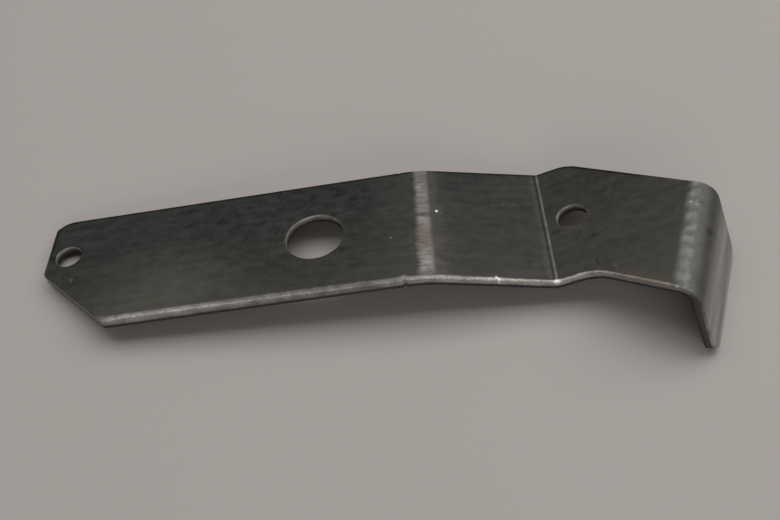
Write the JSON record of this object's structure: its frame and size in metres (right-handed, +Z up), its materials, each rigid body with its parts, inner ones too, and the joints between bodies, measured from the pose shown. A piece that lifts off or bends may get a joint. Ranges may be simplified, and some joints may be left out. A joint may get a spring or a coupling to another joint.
{
  "type": "mounting bracket",
  "caption": "Folded steel mounting bracket: a long flat plate with a cut tip, a low ridge and a sharp valley, a dog-legged arm, a skewed end flange and three round holes.",
  "frame": {"origin": "centre of the bounding box's bottom, on the surface that the bracket rests on", "axes": "+X along the strip in plan, from the cut tip to the flange; +Y across the strip, to the side that the arm turns away from; +Z up. The bracket lies as it comes to rest, on the flange's free edge and the tip's far corner"},
  "size_m": [0.2278, 0.075, 0.0235],
  "materials": {
    "bare_steel": "oiled hot rolled mill scale, dark grey green, bright where the edges were sheared and along the ridge"
  },
  "bodies": {
    "root": {"bracket": "bare_steel"}
  },
  "joints": []
}
